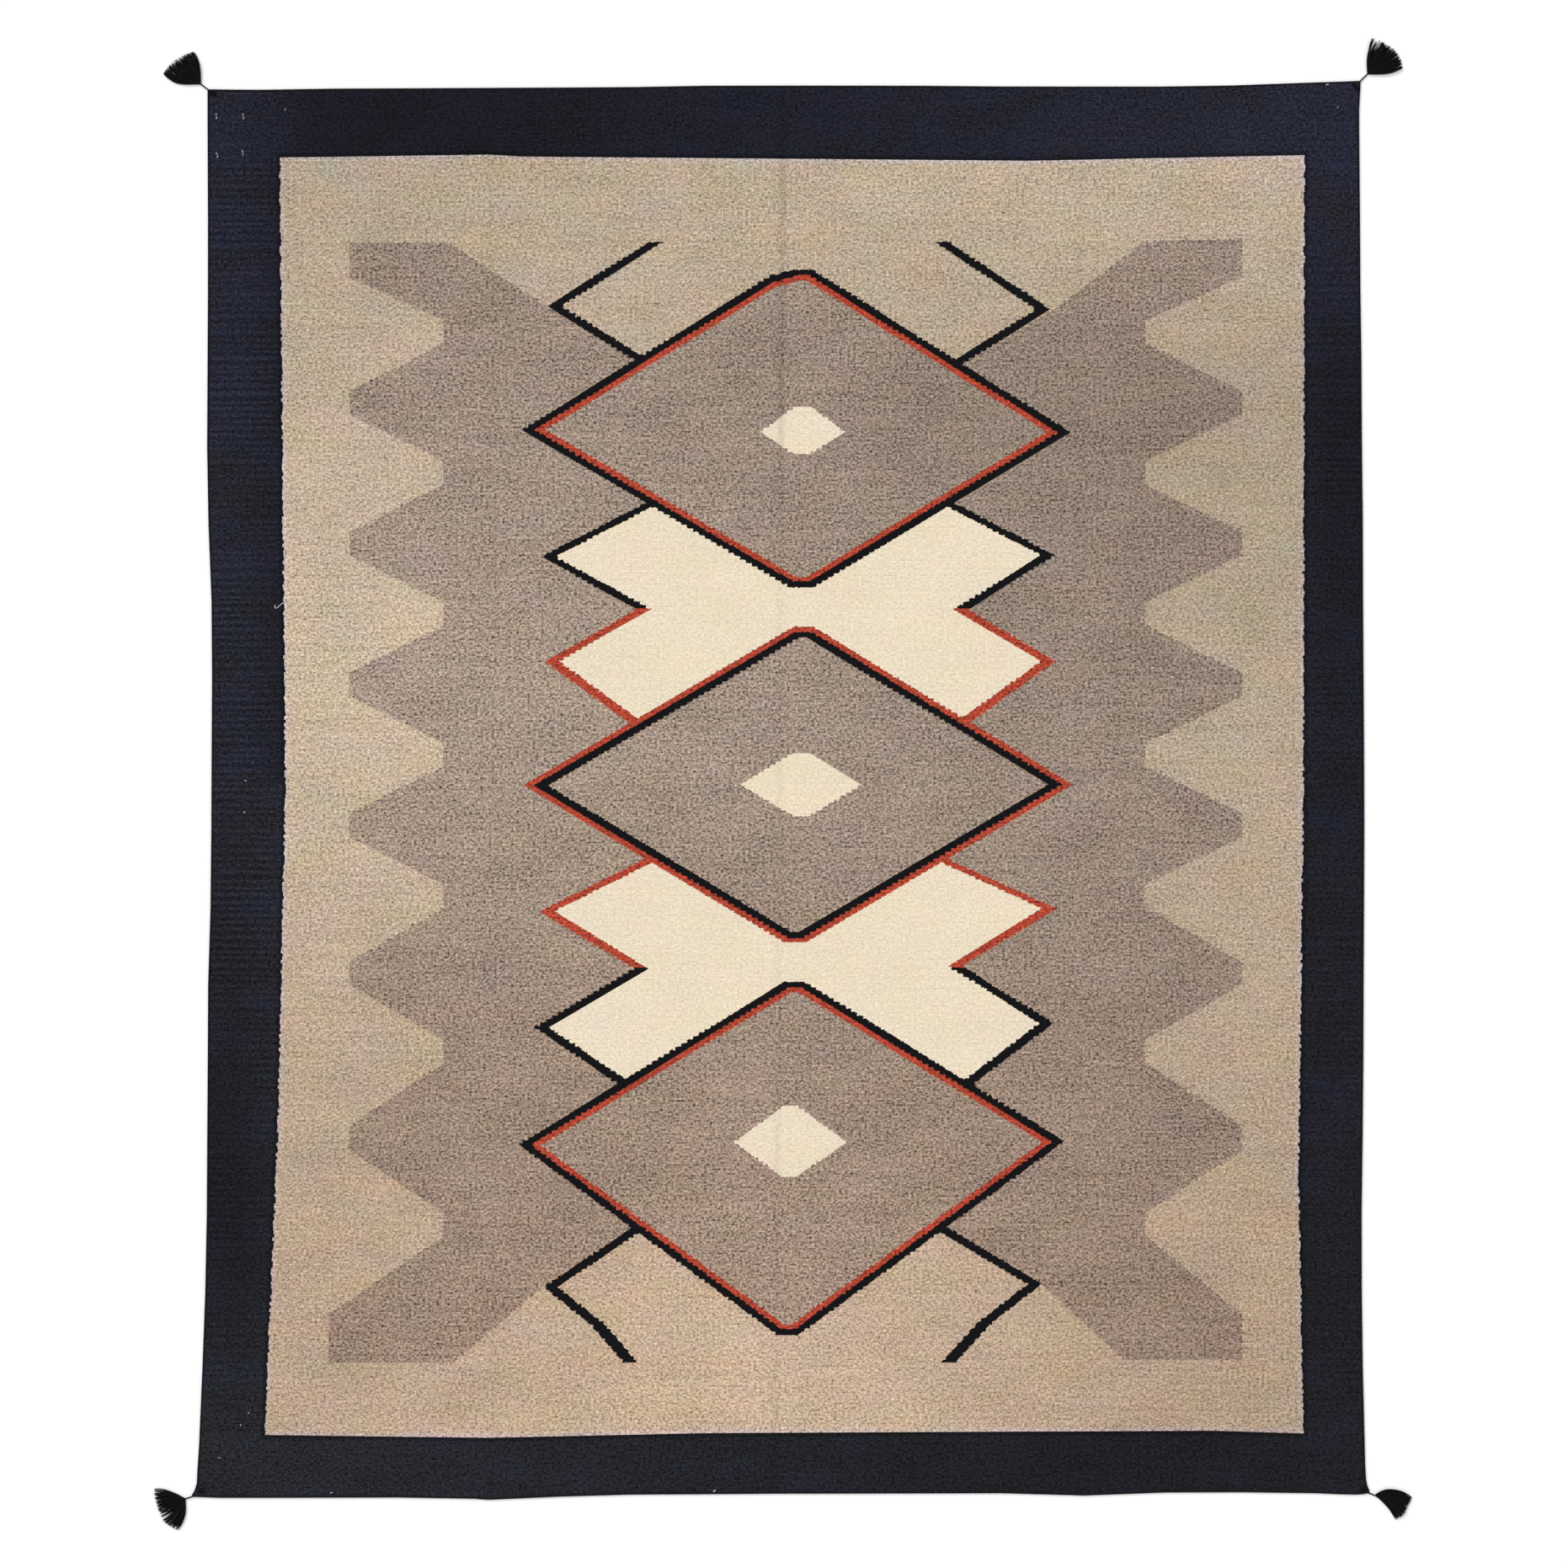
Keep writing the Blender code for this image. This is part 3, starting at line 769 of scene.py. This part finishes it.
def painted_pattern(graph, place, wools):
    """Return the pattern's colour: each form covers what lies behind it."""
    x, y = place["step_x"], place["step_y"]

    def inside(*depths):
        return graph.maths("GREATER_THAN", graph.smallest(depths), 0.0)

    colour = graph.colour(
        inside(graph.maths("SUBTRACT", x, graph.table(y, serrated_side(PANEL_LEFT_MM))),
               graph.maths("SUBTRACT", graph.table(y, serrated_side(PANEL_RIGHT_MM)), x),
               graph.maths("SUBTRACT", graph.table(x, metres(PANEL_TOP_MM)), y),
               graph.maths("SUBTRACT", y, graph.table(x, metres(PANEL_BOTTOM_MM)))),
        wools["beige"], wools["taupe"])

    for band in BANDS_MM:
        depth = graph.smallest([
            graph.maths("SUBTRACT", x, graph.table(y, metres(band["left"]))),
            graph.maths("SUBTRACT", graph.table(y, metres(band["right"])), x)])
        within = [graph.maths("SUBTRACT", y, band["low"] * MM),
                  graph.maths("SUBTRACT", band["high"] * MM, y)]
        if band["fill"]:
            colour = graph.colour(inside(depth, *within), colour, wools[band["fill"]])
        line_left = graph.maths("SUBTRACT", BAND_LINE_MM * MM, depth)
        upper = graph.maths("GREATER_THAN", y, band["turn"] * MM)
        line_wool = graph.colour(upper, wools[band["below"]], wools[band["above"]])
        colour = graph.colour(inside(depth, line_left, *within), colour, line_wool)

    spot = graph.combine(x, y, 1.0)
    for diamond in DIAMONDS_MM:
        depth = graph.depth_inside(spot, metres(
            [diamond["left"], *diamond["bottom"], diamond["right"], *diamond["top"][::-1]]),
            FLAT_LINE_SHARE)
        for start, wool in ((0.0, diamond["outer"]),
                            (diamond["outer_line"], diamond["inner"]),
                            (BOTH_LINES_MM, "taupe")):
            covers = graph.maths("GREATER_THAN", depth, start * MM)
            colour = graph.colour(covers, colour, wools[wool])
        eye = graph.depth_inside(spot, metres(
            [diamond["eye_left"], *diamond["eye_bottom"], diamond["eye_right"],
             *diamond["eye_top"][::-1]]))
        colour = graph.colour(inside(eye), colour, wools["cream"])

    x, y = place["toothed_x"], place["y"]
    joint = graph.smallest([
        graph.maths("SUBTRACT", x, graph.table(y, metres(BORDER_LEFT_MM))),
        graph.maths("SUBTRACT", graph.table(y, metres(BORDER_RIGHT_MM)), x),
        graph.maths("SUBTRACT", graph.table(x, metres(BORDER_TOP_MM)), y),
        graph.maths("SUBTRACT", y, graph.table(x, metres(BORDER_BOTTOM_MM)))])
    # the border's wool carries painted light and shade of its ribs
    border = graph.scaled(wools["border"], graph.maths(
        "MULTIPLY", rib_shade(graph, place),
        graph.span(joint, -JOINT_BAND, -JOINT_FADE * JOINT_BAND, 1.0, JOINT_SHADE)))
    near = graph.span(joint, PALE_EDGE_FULL * PALE_EDGE, PALE_EDGE, 1.0, 0.0)
    pale = graph.vector("MULTIPLY", colour, graph.colour(near, WHITE, PALE_EDGE_CAST))
    return graph.colour(inside(joint), border, pale)


def rib_shade(graph, place):
    """Return the painted light and shade of the border's ribs, strongest in its two long sides."""
    sway = graph.noise(place["streaked"], RIB_SWAY_SPOT, 2.0)
    turn = graph.maths("MULTIPLY_ADD", sway, RIB_SWAY,
                       graph.maths("MULTIPLY", place["y"], 2.0 * math.pi / RIB_PITCH))
    patch = graph.span(graph.noise(place["point"], RIB_PATCH_SPOT), *RIB_PATCH_NOISE,
                       RIB_PATCH_LEAST, 1.0)
    left = graph.span(place["x"], *RIB_LEFT_SPAN, RIB_SHARES["left"], RIB_SHARES["middle"])
    right = graph.span(place["x"], *RIB_RIGHT_SPAN, 0.0, RIB_SHARES["right"])
    away = graph.span(graph.maths("ABSOLUTE", place["y"]), *RIB_END_SPAN,
                      1.0, RIB_SHARES["end"])
    side = graph.maths("MULTIPLY", graph.maths("ADD", left, right), away)
    depth = graph.maths("MULTIPLY", graph.maths("MULTIPLY", patch, side), RIB_SHADE_STRENGTH)
    return graph.maths("MULTIPLY_ADD", graph.maths("SINE", turn), depth, 1.0)


def crease_shade(graph, place):
    """Return how much of the colour is left under the painted shade along the fold lines."""
    lost = []
    for low_place, high_place, _, half_width, painted_shade in FOLD_LINES:
        middle = graph.span(place["y"], LOW.y, HIGH.y, low_place, high_place)
        away = graph.maths("ABSOLUTE", graph.maths("SUBTRACT", place["x"], middle))
        lost.append(graph.span(away, 0.0, half_width, painted_shade, 0.0))
    along = graph.table(place["y"], FOLD_SHARES)
    return graph.maths("SUBTRACT", 1.0, graph.maths("MULTIPLY", graph.total(lost), along))


def weave_height(graph, place):
    """Return the relief of the weave: rounded stitches of weft with fibres on them."""
    across = graph.maths("SINE", graph.maths("MULTIPLY", place["across_stitch"], math.pi))
    along = graph.maths("SINE", graph.maths("MULTIPLY", place["along_stitch"], math.pi))
    pillow = graph.maths("SQRT", graph.maths("MULTIPLY", across, along))
    fibre = graph.noise(place["point"], WEAVE_FIBRE_SPOT, **FINE_NOISE)
    return graph.maths("MULTIPLY_ADD", fibre, WEAVE_FIBRE_SHARE, pillow)


def finish_wool(graph, colour, height, relief):
    """Connect a wool's colour and relief, and set its soft dull surface."""
    bump = graph.node("Bump", {"Height": height, "Strength": 1.0, "Distance": relief})
    graph.tree.links.new(colour, graph.shader.inputs["Base Color"])
    graph.tree.links.new(bump.outputs["Normal"], graph.shader.inputs["Normal"])
    graph.shader.inputs["Roughness"].default_value = WOOL_ROUGHNESS
    graph.shader.inputs["Specular IOR Level"].default_value = WOOL_SPECULAR
    return graph.material


def cloth_material():
    """Return the woven wool with its pattern, painted from the tables above."""
    graph = Graph("woven_wool")
    place = weave_places(graph)
    colour = painted_pattern(graph, place, wool_colours(graph, place))
    # painted shade along the fold lines darkens the woven colour
    colour = graph.scaled(colour, crease_shade(graph, place))
    return finish_wool(graph, colour, weave_height(graph, place), WEAVE_RELIEF)


def yarn_material(name, colour, variation):
    """Return a spun yarn: each strand a little lighter or darker, with fine fibres."""
    graph = Graph(name)
    point = graph.node("TexCoord", {}).outputs["Object"]
    strand = graph.node("NewGeometry", {}).outputs["Random Per Island"]
    fibre = graph.noise(point, YARN_FIBRE_SPOT, **FINE_NOISE)
    grain = graph.maths("ADD", graph.maths("MULTIPLY", strand, variation),
                        graph.maths("MULTIPLY", fibre, variation))
    brightness = graph.maths("ADD", grain, 1.0 - variation)
    shown = graph.scaled(colour, brightness)
    return finish_wool(graph, shown, fibre, YARN_RELIEF)


# Yarns


def add_tube(bm, centres, radii, sides):
    """Add a closed round yarn along a line of points."""
    rings = []
    for index, centre in enumerate(centres):
        before = centres[max(index - 1, 0)]
        after = centres[min(index + 1, len(centres) - 1)]
        forward = (after - before).normalized()
        sideways = forward.cross(Vector((0.0, 0.0, 1.0))).normalized()
        upward = sideways.cross(forward)
        ring = []
        for side in range(sides):
            angle = 2.0 * math.pi * side / sides
            outward = sideways * math.cos(angle) + upward * math.sin(angle)
            ring.append(bm.verts.new(centre + outward * radii[index]))
        rings.append(ring)
    for ring, following in zip(rings, rings[1:]):
        for side in range(sides):
            beside = (side + 1) % sides
            bm.faces.new((ring[side], following[side], following[beside], ring[beside]))
    bm.faces.new(rings[0])
    bm.faces.new(rings[-1][::-1])


def add_twisted_yarn(bm, path, pitch, turn_radius, ply_radius):
    """Add two plies that wind around each other along a path of close points."""
    for ply in range(2):
        travelled = 0.0
        centres = []
        for index, point in enumerate(path):
            after = path[min(index + 1, len(path) - 1)]
            before = path[max(index - 1, 0)]
            forward = (after - before).normalized()
            sideways = forward.cross(Vector((0.0, 0.0, 1.0))).normalized()
            angle = 2.0 * math.pi * travelled / pitch + math.pi * ply
            offset = sideways * math.cos(angle) + Vector((0.0, 0.0, math.sin(angle)))
            centres.append(point + offset * turn_radius)
            travelled += (after - point).length
        add_tube(bm, centres, [ply_radius] * len(centres), PLY_SIDES)


def add_thread(bm, at, direction, length, radius):
    """Add one short arched thread lying on the cloth; all in millimetres but the angle."""
    forward = plan_direction(direction)
    centres = []
    for step in range(-THREAD_HALF_STEPS, THREAD_HALF_STEPS + 1):
        share = step / THREAD_HALF_STEPS
        centre = Vector((*at, 0.0)) + forward * (share * length / 2.0)
        centre.z = THREAD_HEIGHT_MM + THREAD_ARCH_MM * (1.0 - share * share)
        centres.append(centre * MM)
    radii = [radius * MM] * len(centres)
    radii[0] = radii[-1] = radius * THREAD_END * MM
    add_tube(bm, centres, radii, PLY_SIDES)


def make_pale_threads():
    """Model the pale stitches, the lint and the loose thread on the border."""
    bm = bmesh.new()
    for x, y, length, direction, radius in PALE_THREADS_MM:
        add_thread(bm, (x, y), direction, length, radius)
    path = [Vector((x, y, THREAD_HEIGHT_MM)) * MM for x, y in LOOSE_THREAD_MM]
    add_tube(bm, path, [LOOSE_THREAD_RADIUS_MM * MM] * len(path), PLY_SIDES)
    pale_yarn = yarn_material("pale_thread", THREAD_COLOUR, TWISTED_VARIATION)
    piece = new_piece("pale_threads", bm, pale_yarn)
    return piece


def make_corner_stitches(material):
    """Model the close dark stitches that sew each tie's end to its corner."""
    bm = bmesh.new()
    for x, y, length, direction in CORNER_STITCHES_MM:
        sideways = plan_direction(direction + 90.0)
        for stitch in range(CORNER_STITCH_COUNT):
            shift = (stitch - (CORNER_STITCH_COUNT - 1) / 2.0) * CORNER_STITCH_GAP_MM
            at = Vector((x, y, 0.0)) + sideways * shift
            add_thread(bm, at.xy, direction, length, CORNER_STITCH_RADIUS_MM)
    piece = new_piece("corner_stitches", bm, material)
    return piece


def straight_path(start, end, step):
    """Return evenly spaced points from a start to an end."""
    count = max(2, round((end - start).length / step))
    return [start.lerp(end, index / count) for index in range(count + 1)]


def make_selvedge(name, first, last, material):
    """Model the two-ply edge cord along one side, between two corners of the rug."""
    width = HIGH.x - LOW.x
    length = HIGH.y - LOW.y
    inset = Vector((CORD_INSET / width, CORD_INSET / length))
    start = Vector([mix(inset[axis], 1.0 - inset[axis], first[axis]) for axis in (0, 1)])
    end = Vector([mix(inset[axis], 1.0 - inset[axis], last[axis]) for axis in (0, 1)])
    run = width if first[1] == last[1] else length
    count = round(run / CORD_PITCH * STEPS_A_TURN)
    path = []
    for step in range(count + 1):
        share = start.lerp(end, step / count)
        path.append(rug_point(*share) + Vector((0.0, 0.0, CORD_HEIGHT)))
    bm = bmesh.new()
    add_twisted_yarn(bm, path, CORD_PITCH, CORD_TURN_RADIUS, CORD_PLY_RADIUS)
    piece = new_piece("selvedge_" + name, bm, material)
    return piece


def plan_direction(degrees):
    """Return the flat unit vector in a direction."""
    angle = math.radians(degrees)
    return Vector((math.cos(angle), math.sin(angle), 0.0))


def tassel_root(tassel):
    """Return the corner of the rug and the point where a tassel's yarns start."""
    corner = rug_point(*tassel["corner"])
    return corner, corner + plan_direction(tassel["tie_direction"]) * tassel["tie_run"]


def make_tie(tassel, material):
    """Model the twisted yarn from inside the corner to inside the tassel's head."""
    corner, root = tassel_root(tassel)
    forward = plan_direction(tassel["tie_direction"])
    lift = Vector((0.0, 0.0, TIE_HEIGHT))
    path = straight_path(corner - forward * TIE_OVERLAP + lift,
                         root + forward * TIE_OVERLAP + lift, TIE_PITCH / STEPS_A_TURN)
    bm = bmesh.new()
    add_twisted_yarn(bm, path, TIE_PITCH, TIE_TURN_RADIUS, TIE_PLY_RADIUS)
    piece = new_piece("tie_yarn_" + tassel["name"], bm, material)
    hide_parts("tie_" + tassel["name"])
    return piece


def strand_length(tassel, share):
    """Return a strand's length at a share across the fan."""
    lengths = tassel["lengths"]
    place = share * (len(lengths) - 1)
    index = min(int(place), len(lengths) - 2)
    return mix(lengths[index], lengths[index + 1], place - index)


def strand_path(tassel, root, share, layer, chance):
    """Return the points of one strand: out of the root, spreading, then curving."""
    length = strand_length(tassel, share) * (1.0 - STRAND_SHORTER * chance.random() ** 2)
    thin_at = tassel["thin_at"]
    if thin_at and abs(share - thin_at) < THIN_SPAN and chance.random() < THIN_SHARE:
        length *= chance.uniform(*THIN_LENGTHS)
    clump = (math.floor(share * CLUMPS) + chance.uniform(*CLUMP_MIDDLES)) / CLUMPS
    first_wave = chance.uniform(0.0, 2.0 * math.pi)
    waves = chance.uniform(*STRAND_WAVES)
    points = []
    for station in range(STRAND_STATIONS):
        along = station / (STRAND_STATIONS - 1)
        distance = mix(ROOT_DISTANCE, length, along)
        spread = mix(share, clump, CLUMP_PULL * ease((along - CLUMP_START) / CLUMP_RUN))
        direction = mix(mix(*tassel["root_fan"], spread), mix(*tassel["tip_fan"], spread),
                        along ** tassel["bend"])
        wobble = STRAND_WOBBLE * along * math.sin(first_wave + 2.0 * math.pi * waves * along)
        sideways = plan_direction(direction + 90.0) * wobble
        pile = mix(ROOT_PILE, STRAND_PILE, ease(along * ROOT_RISE)) * layer
        point = root + plan_direction(direction) * distance + sideways
        point.z = STRAND_LOWEST + pile + STRAND_LIFT * abs(wobble)
        points.append(point)
    return points


def wrap_path(tassel, root):
    """Return the points of the thin yarn wound round the strands next to the root."""
    middle = mix(*tassel["root_fan"], 0.5)
    forward = plan_direction(middle)
    sideways = plan_direction(middle + 90.0)
    half_span = abs(tassel["root_fan"][1] - tassel["root_fan"][0]) / 2.0
    widening = math.sin(math.radians(half_span)) * WRAP_WIDTH_SHARE
    points = []
    for step in range(WRAP_TURNS * WRAP_STEPS + 1):
        angle = 2.0 * math.pi * step / WRAP_STEPS
        distance = WRAP_START + WRAP_PITCH * step / WRAP_STEPS
        half_width = WRAP_LEAST_WIDTH + distance * widening
        point = root + forward * distance + sideways * (half_width * math.cos(angle))
        point.z = WRAP_MIDDLE_HEIGHT + WRAP_HALF_HEIGHT * math.sin(angle)
        points.append(point)
    return points


def make_tassel(tassel, material):
    """Model one tassel: loose strands and the yarn that binds them at the root."""
    _, root = tassel_root(tassel)
    chance = random.Random(STRAND_SEED + len(tassel["name"]))
    bm = bmesh.new()
    for strand in range(STRANDS):
        share = (strand + chance.random()) / STRANDS
        layer = chance.random()
        path = strand_path(tassel, root, share, layer, chance)
        radius = STRAND_RADIUS * chance.uniform(*STRAND_THICKNESSES)
        radii = [radius] * (len(path) - 1) + [radius * STRAND_TIP]
        add_tube(bm, path, radii, STRAND_SIDES)
    wrap = wrap_path(tassel, root)
    add_tube(bm, wrap, [WRAP_RADIUS] * len(wrap), STRAND_SIDES)
    piece = new_piece("tassel_yarns_" + tassel["name"], bm, material)
    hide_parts("tassel_" + tassel["name"])
    return piece


# Studio


def plain_material(name, colour, roughness):
    """Return a plain Principled material."""
    material = bpy.data.materials.new(name)
    material.use_nodes = True
    shader = material.node_tree.nodes["Principled BSDF"]
    shader.inputs["Base Color"].default_value = colour
    shader.inputs["Roughness"].default_value = roughness
    return material


def add_key_light():
    """Add the wide soft light that points at the rug's middle."""
    light = bpy.data.lights.new("key", "SUN")
    light.angle = math.radians(KEY_ANGLE)
    light.energy = KEY_STRENGTH
    holder = bpy.data.objects.new("key", light)
    holder.location = KEY_PLACE
    holder.rotation_euler = (-Vector(KEY_PLACE)).to_track_quat("-Z", "Y").to_euler()
    bpy.context.scene.collection.objects.link(holder)


def make_studio():
    """Add the pale floor, the soft light and the camera."""
    bm = bmesh.new()
    bmesh.ops.create_grid(bm, x_segments=1, y_segments=1, size=FLOOR_SIZE / 2)
    mesh = bpy.data.meshes.new("floor")
    bm.to_mesh(mesh)
    bm.free()
    mesh.materials.append(plain_material("floor", FLOOR_COLOUR, FLOOR_ROUGHNESS))
    floor = bpy.data.objects.new("floor", mesh)
    bpy.context.scene.collection.objects.link(floor)

    world = bpy.data.worlds.new("studio")
    world.use_nodes = True
    background = world.node_tree.nodes["Background"]
    background.inputs["Color"].default_value = (1.0, 1.0, 1.0, 1.0)
    background.inputs["Strength"].default_value = WORLD_STRENGTH
    bpy.context.scene.world = world
    add_key_light()

    camera = bpy.data.cameras.new("camera")
    camera.lens = LENS_MM
    camera.sensor_width = SENSOR_MM
    holder = bpy.data.objects.new("camera", camera)
    holder.location = (0.0, 0.0, VIEW_WIDTH * LENS_MM / SENSOR_MM)
    bpy.context.scene.collection.objects.link(holder)
    bpy.context.scene.camera = holder
    bpy.context.scene.view_settings.view_transform = "Standard"


def make_rug():
    """Model the rug and everything sewn or tied to it."""
    cloth = make_cloth()
    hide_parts("rug")
    selvedge_yarn = yarn_material("selvedge_yarn", SELVEDGE_COLOUR, TWISTED_VARIATION)
    edges = [
        make_selvedge("bottom", (0, 0), (1, 0), selvedge_yarn),
        make_selvedge("top", (0, 1), (1, 1), selvedge_yarn),
        make_selvedge("left", (0, 0), (0, 1), selvedge_yarn),
        make_selvedge("right", (1, 0), (1, 1), selvedge_yarn),
    ]
    tie_yarn = yarn_material("tie_yarn", TIE_COLOUR, TWISTED_VARIATION)
    tassel_yarn = yarn_material("tassel_yarn", TASSEL_COLOUR, TASSEL_VARIATION)
    trim = [make_pale_threads(), make_corner_stitches(tassel_yarn)]
    for tassel in TASSELS:
        trim.append(make_tie(tassel, tie_yarn))
        trim.append(make_tassel(tassel, tassel_yarn))


LOW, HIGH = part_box("rug")
SIDES = read_sides()
make_studio()
make_rug()
